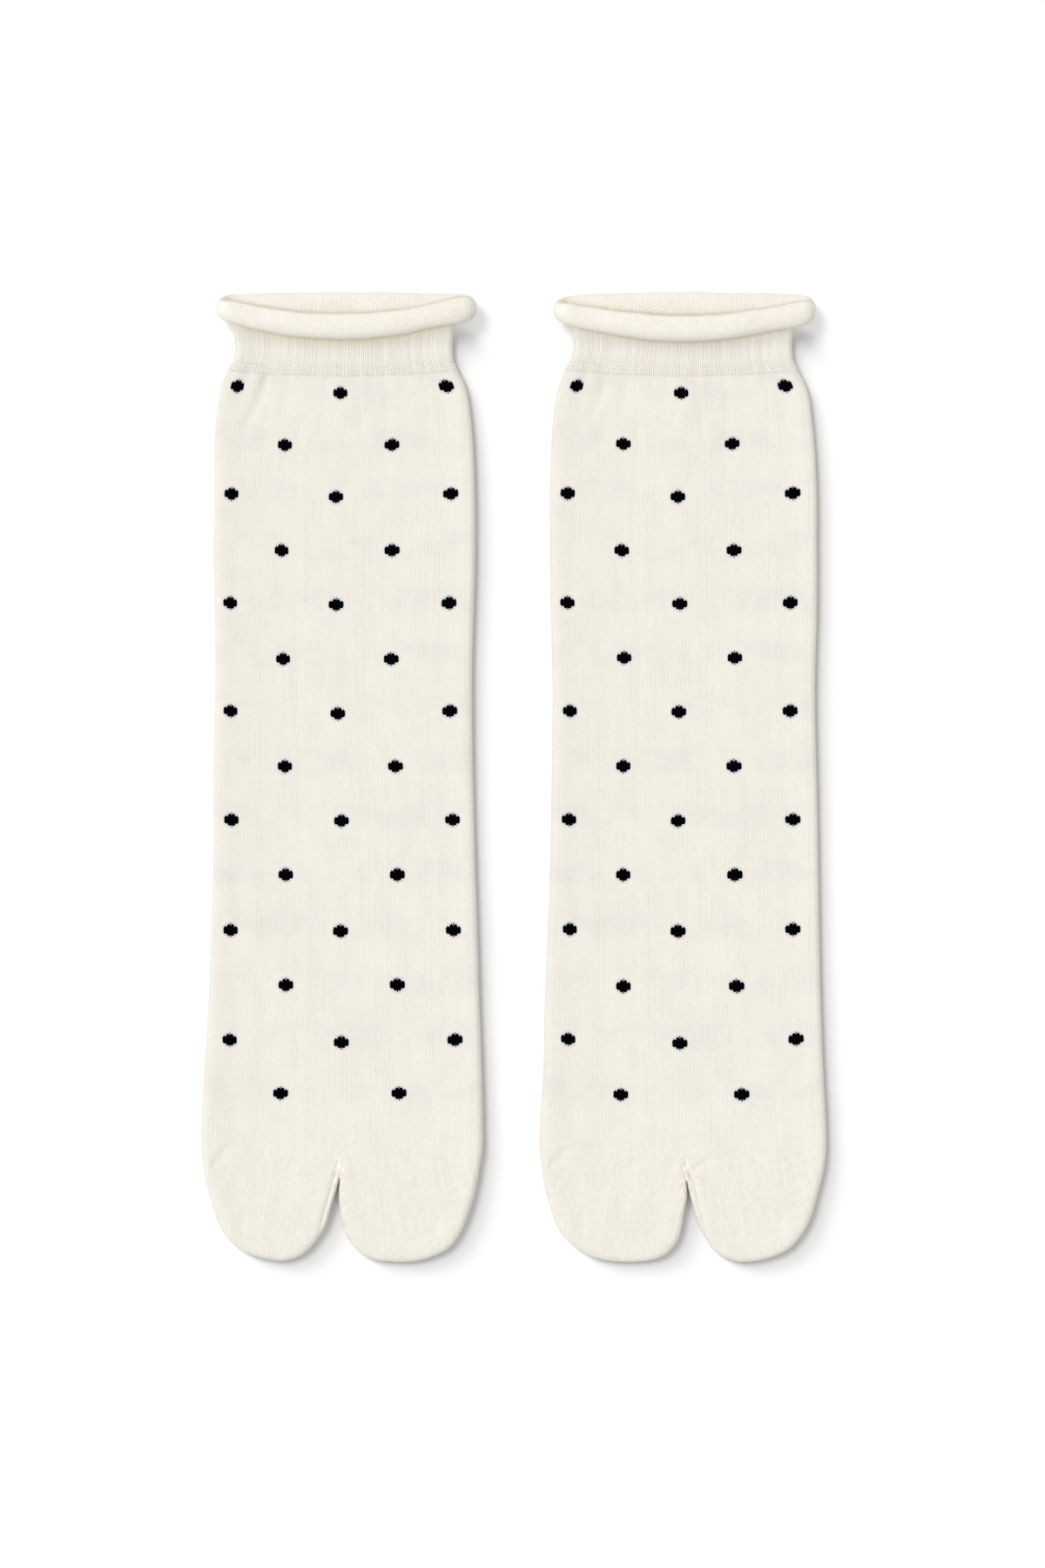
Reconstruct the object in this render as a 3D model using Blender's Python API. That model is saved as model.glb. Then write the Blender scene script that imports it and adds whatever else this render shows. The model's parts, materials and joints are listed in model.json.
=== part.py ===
"""A pair of knitted tabi socks, laid flat side by side with their soles down.

The mouths are at +Y and the toes at -Y, and the pair rests on z = 0. Each sock is one knitted
tube pressed flat, so each of its pieces is a front panel and a back panel joined by folded edges:
a rolled edge at the mouth, a narrow welt, the leg and foot, and two toe pockets.

Sizes are in millimetres. A station is a distance down the sock from the back edge of its mouth.
"outer" and "inner" are distances from a sock's middle line to its edge, away from the other sock
and towards it.
"""

import math
from collections import namedtuple

import bmesh
import bpy
from mathutils import Vector

MM = 0.001

# Cloth and seams.
WALL = 1.3  # one knitted layer
FOLD_REACH = 1.9  # how far the rounding of a folded edge reaches in from the outline
EDGE_FULLNESS = 0.4  # a folded edge stands this much fuller than the middle of its panel
FULLNESS_AT = 3.2  # where that fullness peaks, in from the outline
FULLNESS_SPREAD = 3.0

# The pair.
SOCK_SPACING = 115.7  # from one sock's middle line to the other's
SOCK_LENGTH = 328.7  # from the mouth's back edge to the longer toe's tip

# The welt climbs over the back of the rolled edge, which lies under it.
WELT_TOP = 9.0  # station where the welt's back panel meets the roll
CLIMB_START = 18.5  # station where the back panel leaves the table
CLIMB = 2.9  # how high its end lies
CLIMB_POWER = 1.3
WELT_ROWS = (0.35, 0.7, 1.0)  # shares of the way from the last open row to the mouth
MOUTH_FLARE = 1.4  # the welt spreads this much on each side as it meets the roll
PANEL_UNDER_ROLL = 2.8  # the front panel ends this far short of the front roll's centre

# The rolled edge: a soft roll round the mouth, whose front lies on the welt, lower than its back.
ROLL_WIDTH = 8.6
ROLL_END_WIDTH = 7.7
ROLL_FRONT_HEIGHT = 6.2
ROLL_BACK_HEIGHT = 5.8
ROLL_END_HEIGHT = 5.4
ROLL_BACK_STATION = 4.3
ROLL_FRONT_RISE = 7.4  # height of the front roll's centre where it lies on the welt
ROLL_END_RISE = 8.5  # and where it turns down at each end
ROLL_TAPER_POWER = 1.6  # how late the roll narrows towards its ends
ROLL_LEAN = 1.1  # the front roll stays this many roll diameters from the back one
ROLL_HALF_RUN = 38.6  # from the roll's middle to where it starts to turn
ROLL_RUN_STEPS = 18
ROLL_TURN_STEPS = 6
ROLL_SIDES = 12

# Columns of points across a panel, in from each edge, and the evenly spaced ones between.
EDGE_COLUMNS = (0.0, 0.25, 0.9, 1.9, 4.5, 9.5, 15.5)
MIDDLE_COLUMNS = 3
POCKET_INSETS = (0.0, 0.25, 0.9, 1.9, 4.5, 8.0)  # rings of points inside a toe pocket's outline
WELD = 1e-6

Section = namedtuple("Section", "station outer inner height")
PocketSection = namedtuple("PocketSection", "station side cleft height")
Crease = namedtuple("Crease", "across station to_across to_station depth spread")
Sock = namedtuple(
    "Sock",
    "name side roll_middle roll_low roll_drop roll_low_at welt leg big_toe small_toes creases",
)

LEFT = Sock(
    name="left_sock",
    side=-1,
    roll_middle=1.4,
    roll_low=11.5,
    roll_drop=5.2,
    roll_low_at=-3.0,
    welt=(
        Section(28.3, 39.7, 40.3, 3.2),
        Section(25.5, 38.5, 39.0, 3.2),
        Section(22.7, 37.1, 37.9, 3.3),
        Section(19.2, 36.4, 37.5, 3.5),
    ),
    leg=(
        Section(28.6, 39.9, 40.5, 3.2),
        Section(31.6, 40.9, 41.8, 3.3),
        Section(35.7, 41.8, 42.8, 3.4),
        Section(41.3, 42.6, 43.6, 3.5),
        Section(48.7, 43.1, 44.3, 3.6),
        Section(63.4, 43.3, 45.0, 3.6),
        Section(85.6, 43.6, 45.2, 3.6),
        Section(107.7, 43.7, 44.7, 3.6),
        Section(129.8, 43.0, 44.2, 3.6),
        Section(151.9, 43.5, 44.3, 3.6),
        Section(174.1, 43.6, 44.9, 3.6),
        Section(196.2, 43.7, 45.3, 3.6),
        Section(218.3, 44.4, 46.0, 3.6),
        Section(240.4, 45.3, 46.6, 3.7),
        Section(262.6, 46.7, 47.4, 3.8),
        Section(280.3, 47.6, 47.8, 3.9),
        Section(290.9, 47.8, 47.7, 4.0),
    ),
    big_toe=(
        PocketSection(291.2, 47.7, 0.2, 4.0),
        PocketSection(295.9, 46.9, 0.1, 4.1),
        PocketSection(301.2, 46.0, -0.8, 4.2),
        PocketSection(306.5, 44.8, -1.1, 4.3),
        PocketSection(311.8, 43.2, -0.7, 4.3),
        PocketSection(316.5, 41.4, 0.3, 4.2),
        PocketSection(320.7, 39.1, 1.9, 4.1),
        PocketSection(324.0, 36.3, 4.3, 4.0),
        PocketSection(326.4, 32.0, 7.2, 3.9),
        PocketSection(327.9, 27.9, 10.8, 3.8),
        PocketSection(328.7, 22.9, 17.0, 3.8),
    ),
    small_toes=(
        PocketSection(291.2, 47.8, 0.2, 4.0),
        PocketSection(295.9, 47.2, 0.3, 4.1),
        PocketSection(301.2, 46.4, 1.2, 4.2),
        PocketSection(306.5, 44.9, 2.5, 4.3),
        PocketSection(311.8, 43.4, 4.0, 4.3),
        PocketSection(316.5, 41.5, 5.5, 4.2),
        PocketSection(320.7, 38.9, 8.1, 4.1),
        PocketSection(323.9, 35.5, 10.7, 4.0),
        PocketSection(326.2, 31.4, 13.4, 3.9),
        PocketSection(327.6, 26.6, 16.4, 3.8),
        PocketSection(328.3, 22.6, 19.0, 3.8),
    ),
    creases=(
        Crease(-25.5, 29.6, -31.7, 44.3, 0.5, 3.0),
        Crease(-38.5, 290.0, -43.2, 295.5, 0.5, 2.6),
        Crease(-5.1, 295.3, -2.5, 297.1, 0.4, 2.2),
        Crease(2.2, 300.0, 5.8, 299.1, 0.4, 2.2),
    ),
)

RIGHT = Sock(
    name="right_sock",
    side=1,
    roll_middle=0.3,
    roll_low=12.7,
    roll_drop=6.0,
    roll_low_at=-1.0,
    welt=(
        Section(28.3, 40.2, 40.8, 3.2),
        Section(25.5, 38.8, 39.8, 3.2),
        Section(22.7, 37.6, 38.3, 3.3),
        Section(19.2, 37.0, 37.3, 3.5),
    ),
    leg=(
        Section(28.6, 40.4, 40.9, 3.2),
        Section(31.6, 41.7, 42.1, 3.3),
        Section(35.7, 42.9, 43.0, 3.4),
        Section(41.3, 43.6, 43.9, 3.5),
        Section(48.7, 44.4, 44.5, 3.6),
        Section(63.4, 45.3, 45.1, 3.6),
        Section(85.6, 45.5, 45.2, 3.6),
        Section(107.7, 45.5, 44.9, 3.6),
        Section(129.8, 44.9, 44.3, 3.6),
        Section(151.9, 45.2, 44.5, 3.6),
        Section(174.1, 45.6, 44.7, 3.6),
        Section(196.2, 46.0, 45.1, 3.6),
        Section(218.3, 46.3, 46.0, 3.6),
        Section(240.4, 46.8, 46.9, 3.7),
        Section(262.6, 47.6, 47.3, 3.8),
        Section(280.3, 48.5, 48.4, 3.9),
        Section(290.9, 48.6, 48.6, 4.0),
    ),
    big_toe=(
        PocketSection(291.2, 48.6, -0.5, 4.0),
        PocketSection(295.9, 48.0, -0.5, 4.1),
        PocketSection(301.2, 47.3, -0.8, 4.2),
        PocketSection(306.5, 46.1, -1.4, 4.3),
        PocketSection(311.8, 44.6, -0.5, 4.3),
        PocketSection(316.5, 42.9, 0.3, 4.2),
        PocketSection(320.7, 40.0, 1.4, 4.1),
        PocketSection(324.0, 36.2, 3.5, 4.0),
        PocketSection(326.4, 32.4, 6.1, 3.9),
        PocketSection(327.9, 27.9, 9.8, 3.8),
        PocketSection(328.7, 21.6, 15.6, 3.8),
    ),
    small_toes=(
        PocketSection(291.2, 48.6, 0.9, 4.0),
        PocketSection(295.9, 48.1, 0.9, 4.1),
        PocketSection(301.2, 47.0, 1.2, 4.2),
        PocketSection(306.5, 45.5, 2.4, 4.3),
        PocketSection(311.8, 44.1, 3.7, 4.3),
        PocketSection(316.5, 42.2, 5.4, 4.2),
        PocketSection(320.7, 39.5, 7.6, 4.1),
        PocketSection(324.0, 36.4, 9.7, 4.0),
        PocketSection(326.4, 32.2, 12.5, 3.9),
        PocketSection(327.9, 27.5, 15.9, 3.8),
        PocketSection(328.7, 23.0, 18.6, 3.8),
    ),
    creases=(
        Crease(-27.0, 33.3, -31.2, 41.5, 0.5, 3.0),
        Crease(-39.7, 290.6, -44.7, 295.9, 0.5, 2.6),
        Crease(39.3, 292.9, 43.2, 295.0, 0.4, 2.4),
        Crease(3.0, 297.1, 6.9, 295.3, 0.4, 2.2),
    ),
)

CLOTH_COLOUR = (0.87, 0.84, 0.75, 1.0)
WELT_COLOUR = (0.86, 0.83, 0.74, 1.0)
ROLL_COLOUR = (0.88, 0.85, 0.75, 1.0)
CLOTH_ROUGHNESS = 0.9


def clear_scene():
    for obj in list(bpy.data.objects):
        bpy.data.objects.remove(obj, do_unlink=True)


def cloth_material(name, colour):
    material = bpy.data.materials.new(name)
    material.use_nodes = True
    shader = material.node_tree.nodes["Principled BSDF"]
    shader.inputs["Base Color"].default_value = colour
    shader.inputs["Roughness"].default_value = CLOTH_ROUGHNESS
    shader.inputs["Metallic"].default_value = 0.0
    return material


def world_point(sock, across, station, height):
    """A point of a sock, from millimetres across its middle line, down it and above the table."""
    x = sock.side * SOCK_SPACING / 2 + across
    y = SOCK_LENGTH / 2 - station
    return Vector((x, y, height)) * MM


def mesh_object(name, mesh, colour):
    obj = bpy.data.objects.new(name, mesh)
    bpy.context.scene.collection.objects.link(obj)
    mesh.materials.append(cloth_material(name + "_cloth", colour))
    mesh.shade_smooth()
    return obj


def edges_of(sock, section):
    """The left and right edge of a section of the tube, across the sock's middle line."""
    if sock.side < 0:
        return -section.outer, section.inner
    return -section.inner, section.outer


def pocket_edges(sock, section, is_outer):
    """The left and right edge of a section of a toe pocket."""
    if is_outer == (sock.side < 0):
        return -section.side, -section.cleft
    return section.cleft, section.side


def columns_between(left, right):
    """Places across a panel: close together at its folded edges, even between them."""
    near_left = [left + offset for offset in EDGE_COLUMNS]
    near_right = [right - offset for offset in reversed(EDGE_COLUMNS)]
    step = (near_right[0] - near_left[-1]) / (MIDDLE_COLUMNS + 1)
    middle = [near_left[-1] + step * (index + 1) for index in range(MIDDLE_COLUMNS)]
    return near_left + middle + near_right


def distance_to_line(across, station, start, end):
    """From a point to the stretch between two (across, station) places."""
    run = (end[0] - start[0], end[1] - start[1])
    length_squared = run[0] ** 2 + run[1] ** 2
    share = ((across - start[0]) * run[0] + (station - start[1]) * run[1]) / length_squared
    share = min(1.0, max(0.0, share))
    return math.hypot(across - start[0] - share * run[0], station - start[1] - share * run[1])


def fold_rounding(inward):
    """0 on the outline to 1 where the panel lies flat, along a quarter circle."""
    share = min(1.0, inward / FOLD_REACH)
    return math.sqrt(max(0.0, 1.0 - (1.0 - share) ** 2))


def crease_depth(sock, across, station):
    depth = 0.0
    for crease in sock.creases:
        start = (crease.across, crease.station)
        end = (crease.to_across, crease.to_station)
        off = distance_to_line(across, station, start, end)
        depth += crease.depth * math.exp(-((off / crease.spread) ** 2))
    return depth


def welt_lift(station):
    """How high the cloth is carried where it climbs on to the back of the rolled edge."""
    share = (CLIMB_START - station) / (CLIMB_START - WELT_TOP)
    return CLIMB * max(0.0, share) ** CLIMB_POWER


def front_height(sock, across, station, height, inward):
    fullness = EDGE_FULLNESS * math.exp(-(((inward - FULLNESS_AT) / FULLNESS_SPREAD) ** 2))
    rounding = fold_rounding(inward)
    rise = (fullness - crease_depth(sock, across, station)) * rounding
    return welt_lift(station) + height / 2 + height / 2 * rounding + rise


def back_height(station, height, inward):
    return welt_lift(station) + height / 2 - height / 2 * fold_rounding(inward)


def walled_object(name, shape, colour):
    """The outer surface in a bmesh, open where it is seamed on, as an object with a cloth's wall."""
    bmesh.ops.remove_doubles(shape, verts=shape.verts, dist=WELD)
    mesh = bpy.data.meshes.new(name)
    shape.to_mesh(mesh)
    shape.free()
    obj = mesh_object(name, mesh, colour)
    wall = obj.modifiers.new("Wall", "SOLIDIFY")
    wall.thickness = WALL * MM
    wall.offset = -1.0
    wall.use_quality_normals = True
    return obj


def tube_of_panels(name, front, back, colour):
    """A front and a back grid of points, which meet along both folded edges."""
    shape = bmesh.new()
    front_rows = [[shape.verts.new(point) for point in row] for row in front]
    back_rows = [[shape.verts.new(point) for point in row] for row in back]
    for row in range(len(front) - 1):
        for column in range(len(front[0]) - 1):
            upper, lower = front_rows[row], front_rows[row + 1]
            shape.faces.new((upper[column], lower[column], lower[column + 1], upper[column + 1]))
            upper, lower = back_rows[row], back_rows[row + 1]
            shape.faces.new((upper[column + 1], lower[column + 1], lower[column], upper[column]))
    return walled_object(name, shape, colour)


def build_leg(sock):
    front, back = [], []
    for section in sock.leg:
        left, right = edges_of(sock, section)
        places = columns_between(left, right)
        front_row, back_row = [], []
        for across in places:
            inward = min(across - left, right - across)
            top = front_height(sock, across, section.station, section.height, inward)
            under = back_height(section.station, section.height, inward)
            front_row.append(world_point(sock, across, section.station, top))
            back_row.append(world_point(sock, across, section.station, under))
        front.append(front_row)
        back.append(back_row)
    return tube_of_panels(sock.name + "_leg_and_foot", front, back, CLOTH_COLOUR)


def front_roll_station(sock, across):
    """Where the front roll's centre lies: lowest near the middle, drawn up at both ends."""
    share = (across - sock.roll_low_at) / ROLL_HALF_RUN
    return sock.roll_low - sock.roll_drop * share**2


def build_welt(sock):
    """The band below the rolled edge; its front panel ends under the front roll."""
    rows = [(section, 0.0) for section in sock.welt]
    rows += [(sock.welt[-1], share) for share in WELT_ROWS]
    front, back = [], []
    for section, share in rows:
        left, right = edges_of(sock, section)
        left -= MOUTH_FLARE * share**2
        right += MOUTH_FLARE * share**2
        places = columns_between(left, right)
        front_row, back_row = [], []
        for across in places:
            inward = min(across - left, right - across)
            front_end = max(WELT_TOP, front_roll_station(sock, across) + PANEL_UNDER_ROLL)
            front_end = WELT_TOP + (front_end - WELT_TOP) * fold_rounding(inward / 3)
            front_station = section.station + (front_end - section.station) * share
            back_station = section.station + (WELT_TOP - section.station) * share
            top = front_height(sock, across, front_station, section.height, inward)
            under = back_height(back_station, section.height, inward)
            front_row.append(world_point(sock, across, front_station, top))
            back_row.append(world_point(sock, across, back_station, under))
        front.append(front_row)
        back.append(back_row)
    front.reverse()
    back.reverse()
    return tube_of_panels(sock.name + "_welt", front, back, WELT_COLOUR)


def inset_outline(outline, distance):
    """An outline of (across, station) places moved inwards; its two ends stay on the seam."""
    moved = []
    for index, place in enumerate(outline):
        if index == 0 or index == len(outline) - 1:
            inwards = Vector((1.0, 0.0)) if index == 0 else Vector((-1.0, 0.0))
            moved.append(place + inwards * distance)
            continue
        before = (place - outline[index - 1]).normalized()
        along = (before + (outline[index + 1] - place).normalized()).normalized()
        inwards = Vector((along.y, -along.x))
        moved.append(place + inwards * distance / along.dot(before))
    return moved


def build_pocket(sock, label, sections, is_outer):
    """A toe pocket, whose two panels meet along its side, its tip and the cleft."""
    edges = [pocket_edges(sock, section, is_outer) for section in sections]
    outline = [Vector((edge[0], section.station)) for edge, section in zip(edges, sections)]
    across_tip = [Vector((edge[1], section.station)) for edge, section in zip(edges, sections)]
    outline += reversed(across_tip)
    heights = [section.height for section in sections]
    heights += reversed(heights)
    shape = bmesh.new()
    front_rings, back_rings = [], []
    for inward in POCKET_INSETS:
        front_ring, back_ring = [], []
        for place, height in zip(inset_outline(outline, inward), heights):
            top = front_height(sock, place.x, place.y, height, inward)
            under = back_height(place.y, height, inward)
            front_ring.append(shape.verts.new(world_point(sock, place.x, place.y, top)))
            back_ring.append(shape.verts.new(world_point(sock, place.x, place.y, under)))
        front_rings.append(front_ring)
        back_rings.append(back_ring)
    for ring in range(len(POCKET_INSETS) - 1):
        for step in range(len(outline) - 1):
            outside, inside = front_rings[ring], front_rings[ring + 1]
            shape.faces.new((outside[step], outside[step + 1], inside[step + 1], inside[step]))
            outside, inside = back_rings[ring], back_rings[ring + 1]
            shape.faces.new((inside[step], inside[step + 1], outside[step + 1], outside[step]))
    shape.faces.new(front_rings[-1])
    shape.faces.new(reversed(back_rings[-1]))
    return walled_object(f"{sock.name}_{label}", shape, CLOTH_COLOUR)


def blend(start, end, share):
    return start + (end - start) * share


def front_roll_height(station, width, thickness, back_thickness):
    """The front roll's centre: on the welt where it can be, else leaning on the back roll."""
    beside = (station - ROLL_BACK_STATION) / width
    above = math.sqrt(max(0.0, ROLL_LEAN**2 - beside**2))
    leaning = back_thickness / 2 + above * (thickness + back_thickness) / 2
    return max(ROLL_FRONT_RISE, leaning)


def roll_path(sock):
    """Round the mouth: (across, station, height, width, thickness) at each step of the roll."""
    path = []
    for side in (1, -1):
        # Over the front from one end to the other, or back again along the table.
        for step in range(ROLL_RUN_STEPS):
            run = side * (1 - 2 * step / ROLL_RUN_STEPS)
            to_end = abs(run) ** ROLL_TAPER_POWER
            across = sock.roll_middle + ROLL_HALF_RUN * run
            width = blend(ROLL_WIDTH, ROLL_END_WIDTH, to_end)
            thickness = blend(ROLL_BACK_HEIGHT, ROLL_END_HEIGHT, to_end)
            if side < 0:
                path.append((across, ROLL_BACK_STATION, thickness / 2, width, thickness))
                continue
            station = front_roll_station(sock, across)
            front_thickness = blend(ROLL_FRONT_HEIGHT, ROLL_END_HEIGHT, to_end)
            height = front_roll_height(station, width, front_thickness, thickness)
            path.append((across, station, height, width, front_thickness))
        # Round the end, down to the table or up on to the welt.
        end = sock.roll_middle - side * ROLL_HALF_RUN
        radius = (ROLL_END_RISE - ROLL_END_HEIGHT / 2) / 2
        for step in range(ROLL_TURN_STEPS):
            turn = math.pi * step / ROLL_TURN_STEPS
            share = (1 - math.cos(turn)) / 2
            if side < 0:
                share = 1 - share
            across = end - side * radius * math.sin(turn)
            station = blend(front_roll_station(sock, end), ROLL_BACK_STATION, share)
            height = blend(ROLL_END_RISE, ROLL_END_HEIGHT / 2, share)
            path.append((across, station, height, ROLL_END_WIDTH, ROLL_END_HEIGHT))
    return path


def build_roll(sock):
    """The cloth's raw edge, rolled outwards into a soft ring of several layers."""
    path = roll_path(sock)
    centres = [world_point(sock, *step[:3]) for step in path]
    shape = bmesh.new()
    rings = []
    for index, step in enumerate(path):
        along = centres[(index + 1) % len(path)] - centres[index - 1]
        along.normalize()
        widthways = Vector((0.0, -1.0, 0.0))
        widthways -= widthways.dot(along) * along
        widthways.normalize()
        upwards = along.cross(widthways)
        ring = []
        for corner in range(ROLL_SIDES):
            angle = 2 * math.pi * corner / ROLL_SIDES
            offset = widthways * math.cos(angle) * step[3] + upwards * math.sin(angle) * step[4]
            ring.append(shape.verts.new(centres[index] + offset * MM / 2))
        rings.append(ring)
    for index, ring in enumerate(rings):
        following = rings[(index + 1) % len(rings)]
        for corner in range(ROLL_SIDES):
            beside = (corner + 1) % ROLL_SIDES
            shape.faces.new((ring[corner], ring[beside], following[beside], following[corner]))
    bmesh.ops.recalc_face_normals(shape, faces=shape.faces)
    name = sock.name + "_rolled_edge"
    mesh = bpy.data.meshes.new(name)
    shape.to_mesh(mesh)
    shape.free()
    return mesh_object(name, mesh, ROLL_COLOUR)


def build_sock(sock):
    build_roll(sock)
    build_welt(sock)
    build_leg(sock)
    build_pocket(sock, "big_toe", sock.big_toe, is_outer=False)
    build_pocket(sock, "small_toes", sock.small_toes, is_outer=True)


def centre_on_origin():
    """Brings the middle of the pair's footprint over the origin, with its lowest face at z = 0."""
    points = [vertex.co for obj in bpy.data.objects for vertex in obj.data.vertices]
    lowest = Vector([min(point[axis] for point in points) for axis in range(3)])
    highest = Vector([max(point[axis] for point in points) for axis in range(3)])
    middle = (lowest + highest) / 2
    for obj in bpy.data.objects:
        for vertex in obj.data.vertices:
            vertex.co -= Vector((middle.x, middle.y, lowest.z))


clear_scene()
build_sock(LEFT)
build_sock(RIGHT)
centre_on_origin()
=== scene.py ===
import json
import math

import bmesh
import bpy
import numpy as np
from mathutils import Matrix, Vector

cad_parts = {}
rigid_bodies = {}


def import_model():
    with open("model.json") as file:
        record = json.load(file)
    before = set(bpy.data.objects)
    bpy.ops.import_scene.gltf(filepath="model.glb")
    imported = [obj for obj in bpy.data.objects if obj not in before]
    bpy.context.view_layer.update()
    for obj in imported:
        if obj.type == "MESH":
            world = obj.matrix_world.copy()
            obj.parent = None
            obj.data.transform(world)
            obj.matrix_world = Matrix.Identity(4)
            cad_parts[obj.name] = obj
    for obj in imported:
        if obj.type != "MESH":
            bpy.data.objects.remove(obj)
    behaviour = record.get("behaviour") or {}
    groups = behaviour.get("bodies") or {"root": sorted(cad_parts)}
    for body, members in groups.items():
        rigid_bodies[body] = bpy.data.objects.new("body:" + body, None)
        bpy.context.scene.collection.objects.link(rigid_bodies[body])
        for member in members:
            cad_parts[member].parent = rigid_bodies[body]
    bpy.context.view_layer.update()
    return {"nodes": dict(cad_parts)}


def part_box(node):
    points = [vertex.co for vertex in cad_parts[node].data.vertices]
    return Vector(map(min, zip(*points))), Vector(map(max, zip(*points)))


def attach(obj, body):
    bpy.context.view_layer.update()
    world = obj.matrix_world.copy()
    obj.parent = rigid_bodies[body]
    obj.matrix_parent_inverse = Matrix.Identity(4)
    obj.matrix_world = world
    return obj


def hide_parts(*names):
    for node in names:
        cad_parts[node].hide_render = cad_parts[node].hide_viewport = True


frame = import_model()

# Lengths are in millimetres. "across" runs from a sock's middle line towards +X, and "station"
# runs down the sock from the back edge of its mouth. A knit map counts wales and courses.
mm = 0.001
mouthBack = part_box("left_sock_rolled_edge")[1].y / mm

# What both socks share.
cloth = {
    "wall": 1.2,
    "foldReach": 1.9,      # how far a folded edge's rounding reaches in
    "fullness": 0.4,       # a folded edge stands this much fuller than its panel
    "fullnessAt": 3.2,
    "fullnessSpread": 3.0,
    # Height of the two layers together, down the sock.
    "heightStations": (19.2, 28.3, 41.3, 48.7, 218.3, 262.6, 290.9, 306.5, 313.0, 320.7, 328.7),
    "heights": (3.5, 3.2, 3.5, 3.6, 3.6, 3.8, 4.0, 4.3, 4.3, 4.1, 3.8),
    "courseStep": 0.92,
    "foldWale": 36,        # wales from the front's middle to either fold
    "rowCourses": 20,      # courses from one row of dots to the next
}

# One dictionary for each sock: its dots are (station of the row's middle, how far the outer dots
# lie above it, where each dot is across), and creases are (across, station) at the start, middle
# and end, then depth and spread. A ridge has a negative depth.
leftSock = {
    "name": "left_sock",
    "middle": -58.25,
    "leftPocket": "small_toes",
    "rightPocket": "big_toe",
    "apex": (-0.8, 300.4),
    "roll": {
        "middle": 1.6,
        "halfRun": 38.8,
        "low": 12.0,
        "drop": 5.6,
        "lowAt": -0.5,
        "leftDip": 0.0,        # how much lower each end lies
        "rightDip": 0.5,
        "rightFuller": 1.3,    # the right end is also fuller
        "phase": 0.4,
    },
    "dots": (
        (34.2, 2.4, (-35.8, -0.4, 36.2)),
        (52.2, 1.7, (-19.3, 17.0)),
        (69.3, 1.0, (-37.3, -1.9, 37.1)),
        (87.7, 0.8, (-20.5, 17.0)),
        (105.9, 0.6, (-37.6, -1.9, 36.5)),
        (124.5, 0.7, (-19.9, 16.7)),
        (142.8, 0.9, (-37.6, -1.3, 36.8)),
        (160.8, 0.6, (-19.3, 18.2)),
        (179.1, 0.3, (-37.3, -0.1, 37.6)),
        (197.4, 0.3, (-19.0, 18.8)),
        (216.5, 0.3, (-37.6, -0.4, 37.9)),
        (234.8, 0.6, (-19.0, 18.8)),
        (254.3, 0.9, (-37.9, -0.1, 38.5)),
        (271.6, 0.9, (-20.8, 19.4)),
    ),
    "creases": (
        ((-25.0, 28.6), (-27.9, 35.4), (-32.6, 44.6), 0.85, 1.2),
        ((-28.4, 29.2), (-31.0, 36.5), (-35.0, 43.5), -0.28, 1.5),
        ((-22.6, 30.5), (-24.2, 38.0), (-26.5, 46.0), 0.16, 1.3),
        ((-38.5, 289.6), (-40.6, 292.0), (-43.4, 295.6), 0.80, 0.9),
        ((-5.1, 295.3), (-3.8, 296.0), (-2.5, 297.4), 0.38, 0.9),
        ((2.2, 300.3), (3.8, 299.9), (5.8, 298.9), 0.40, 0.8),
        ((-1.2, 295.2), (-3.9, 305.0), (-7.2, 317.0), 0.80, 0.55),
        ((0.2, 295.4), (-0.3, 298.0), (-0.8, 300.2), 0.45, 0.40),
    ),
    "backCreases": (
        ((20.0, 31.0), (24.0, 38.0), (29.0, 46.0), 0.35, 1.8),
        ((-12.0, 150.0), (-3.0, 154.0), (9.0, 153.0), 0.25, 2.6),
        ((36.0, 289.0), (38.5, 292.0), (42.0, 296.5), 0.35, 1.4),
        ((-24.0, 228.0), (-17.0, 236.0), (-14.0, 247.0), 0.22, 2.4),
    ),
}

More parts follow.
